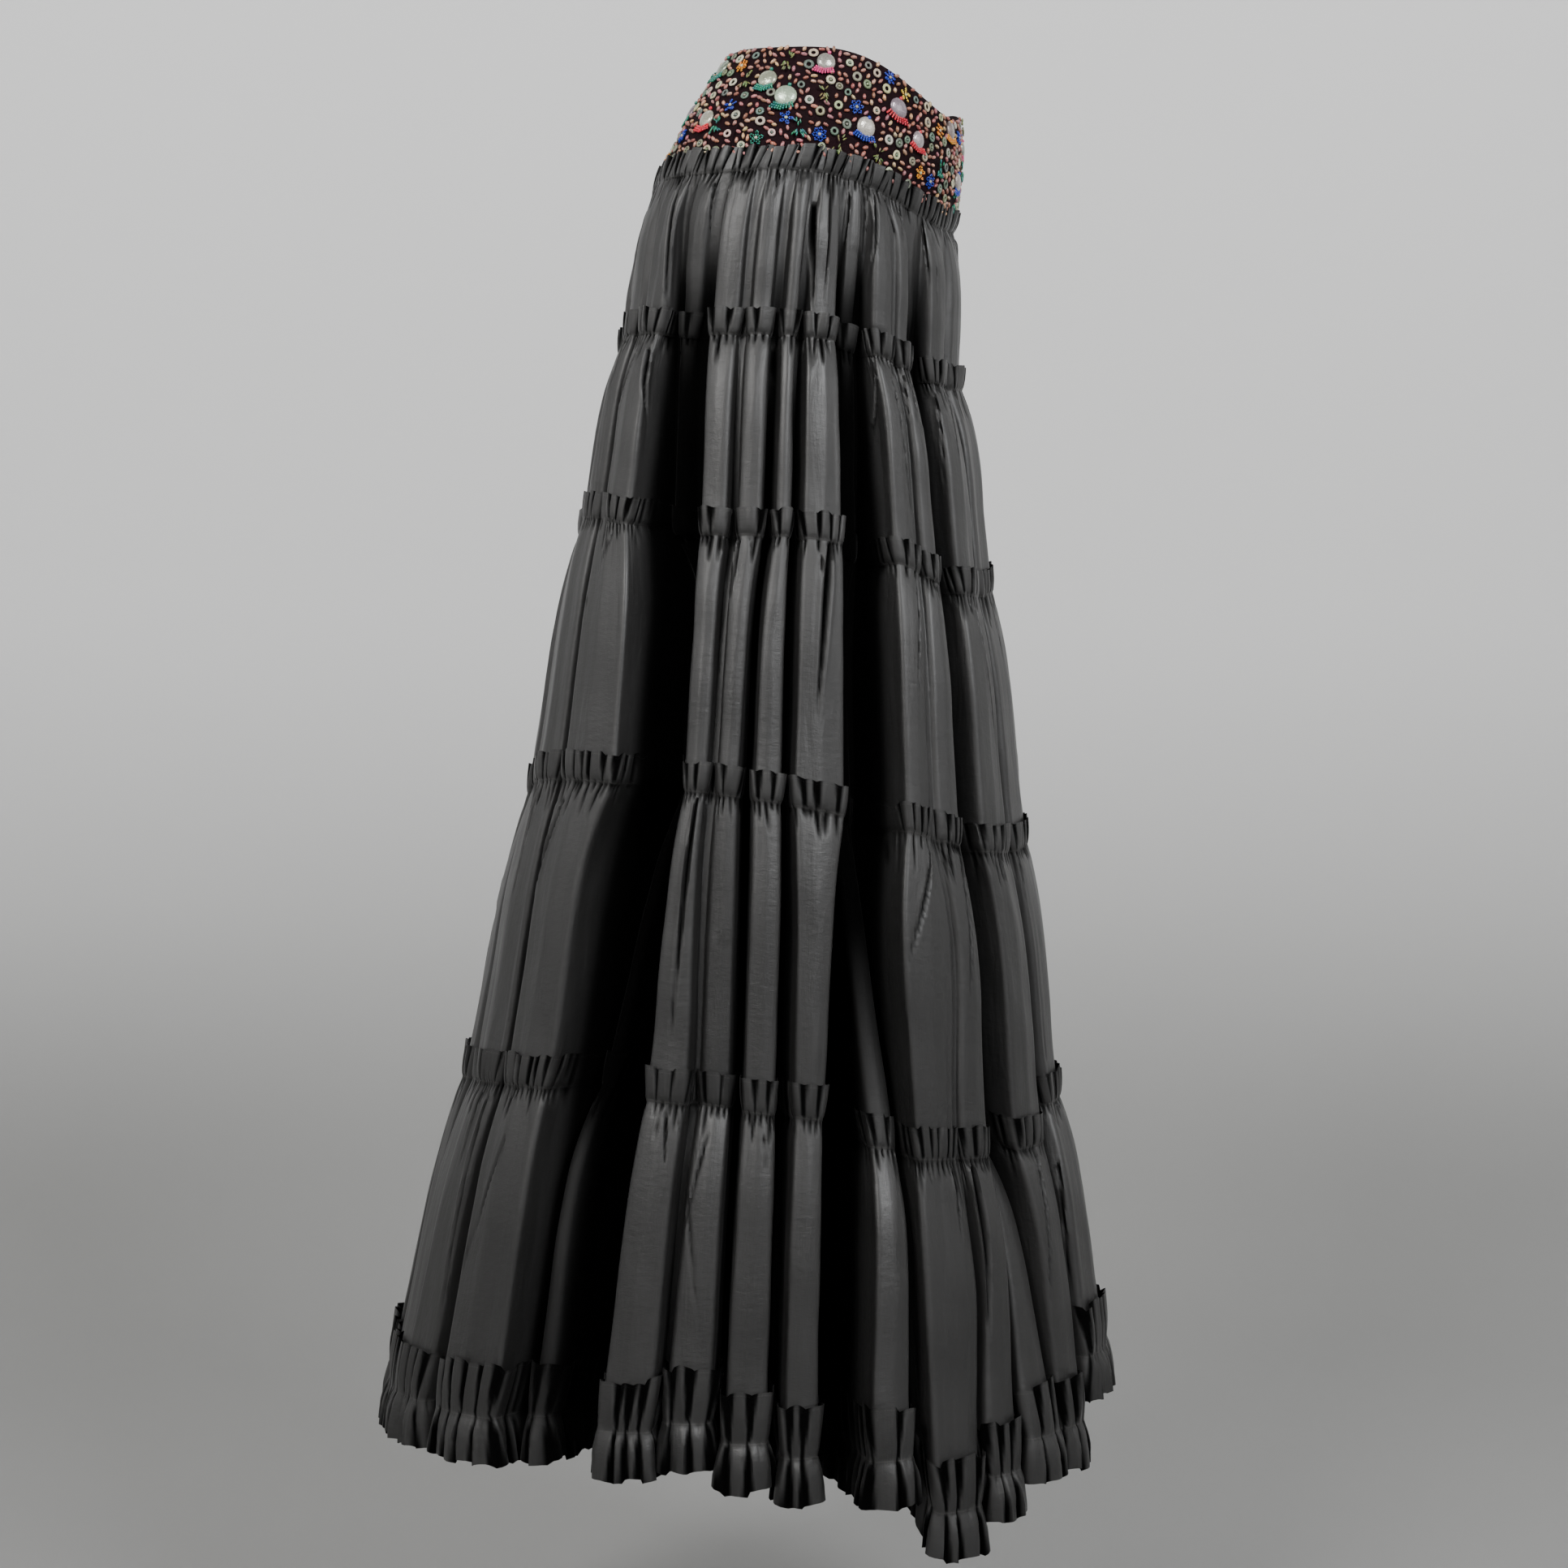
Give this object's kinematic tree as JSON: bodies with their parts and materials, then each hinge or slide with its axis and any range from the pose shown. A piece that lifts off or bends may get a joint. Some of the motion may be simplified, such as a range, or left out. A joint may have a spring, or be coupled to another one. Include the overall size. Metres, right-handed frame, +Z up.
{
  "type": "tiered ruffle maxi skirt",
  "caption": "Long tiered skirt of gathered black taffeta with frilled headings and a ruffled hem, on a beaded hip yoke, in the shape it hangs when worn.",
  "frame": {"origin": "middle of the waist opening, level with the yoke's upper edge at the wearer's back and about 2 cm below it at both sides", "axes": "+Z up along the wearer, -Y towards the wearer's front, -X towards the wearer's right side, which the picture shows"},
  "size_m": [0.6587, 0.6397, 1.1913],
  "materials": {
    "beaded_yoke": "dark burgundy ground, covered with beads",
    "taffeta": "black taffeta with a soft sheen"
  },
  "bodies": {
    "root": {"yoke_front": "beaded_yoke", "yoke_back": "beaded_yoke", "tier_1": "taffeta", "tier_2": "taffeta", "tier_3": "taffeta", "tier_4": "taffeta", "tier_5": "taffeta", "hem_flounce": "taffeta"}
  },
  "joints": []
}
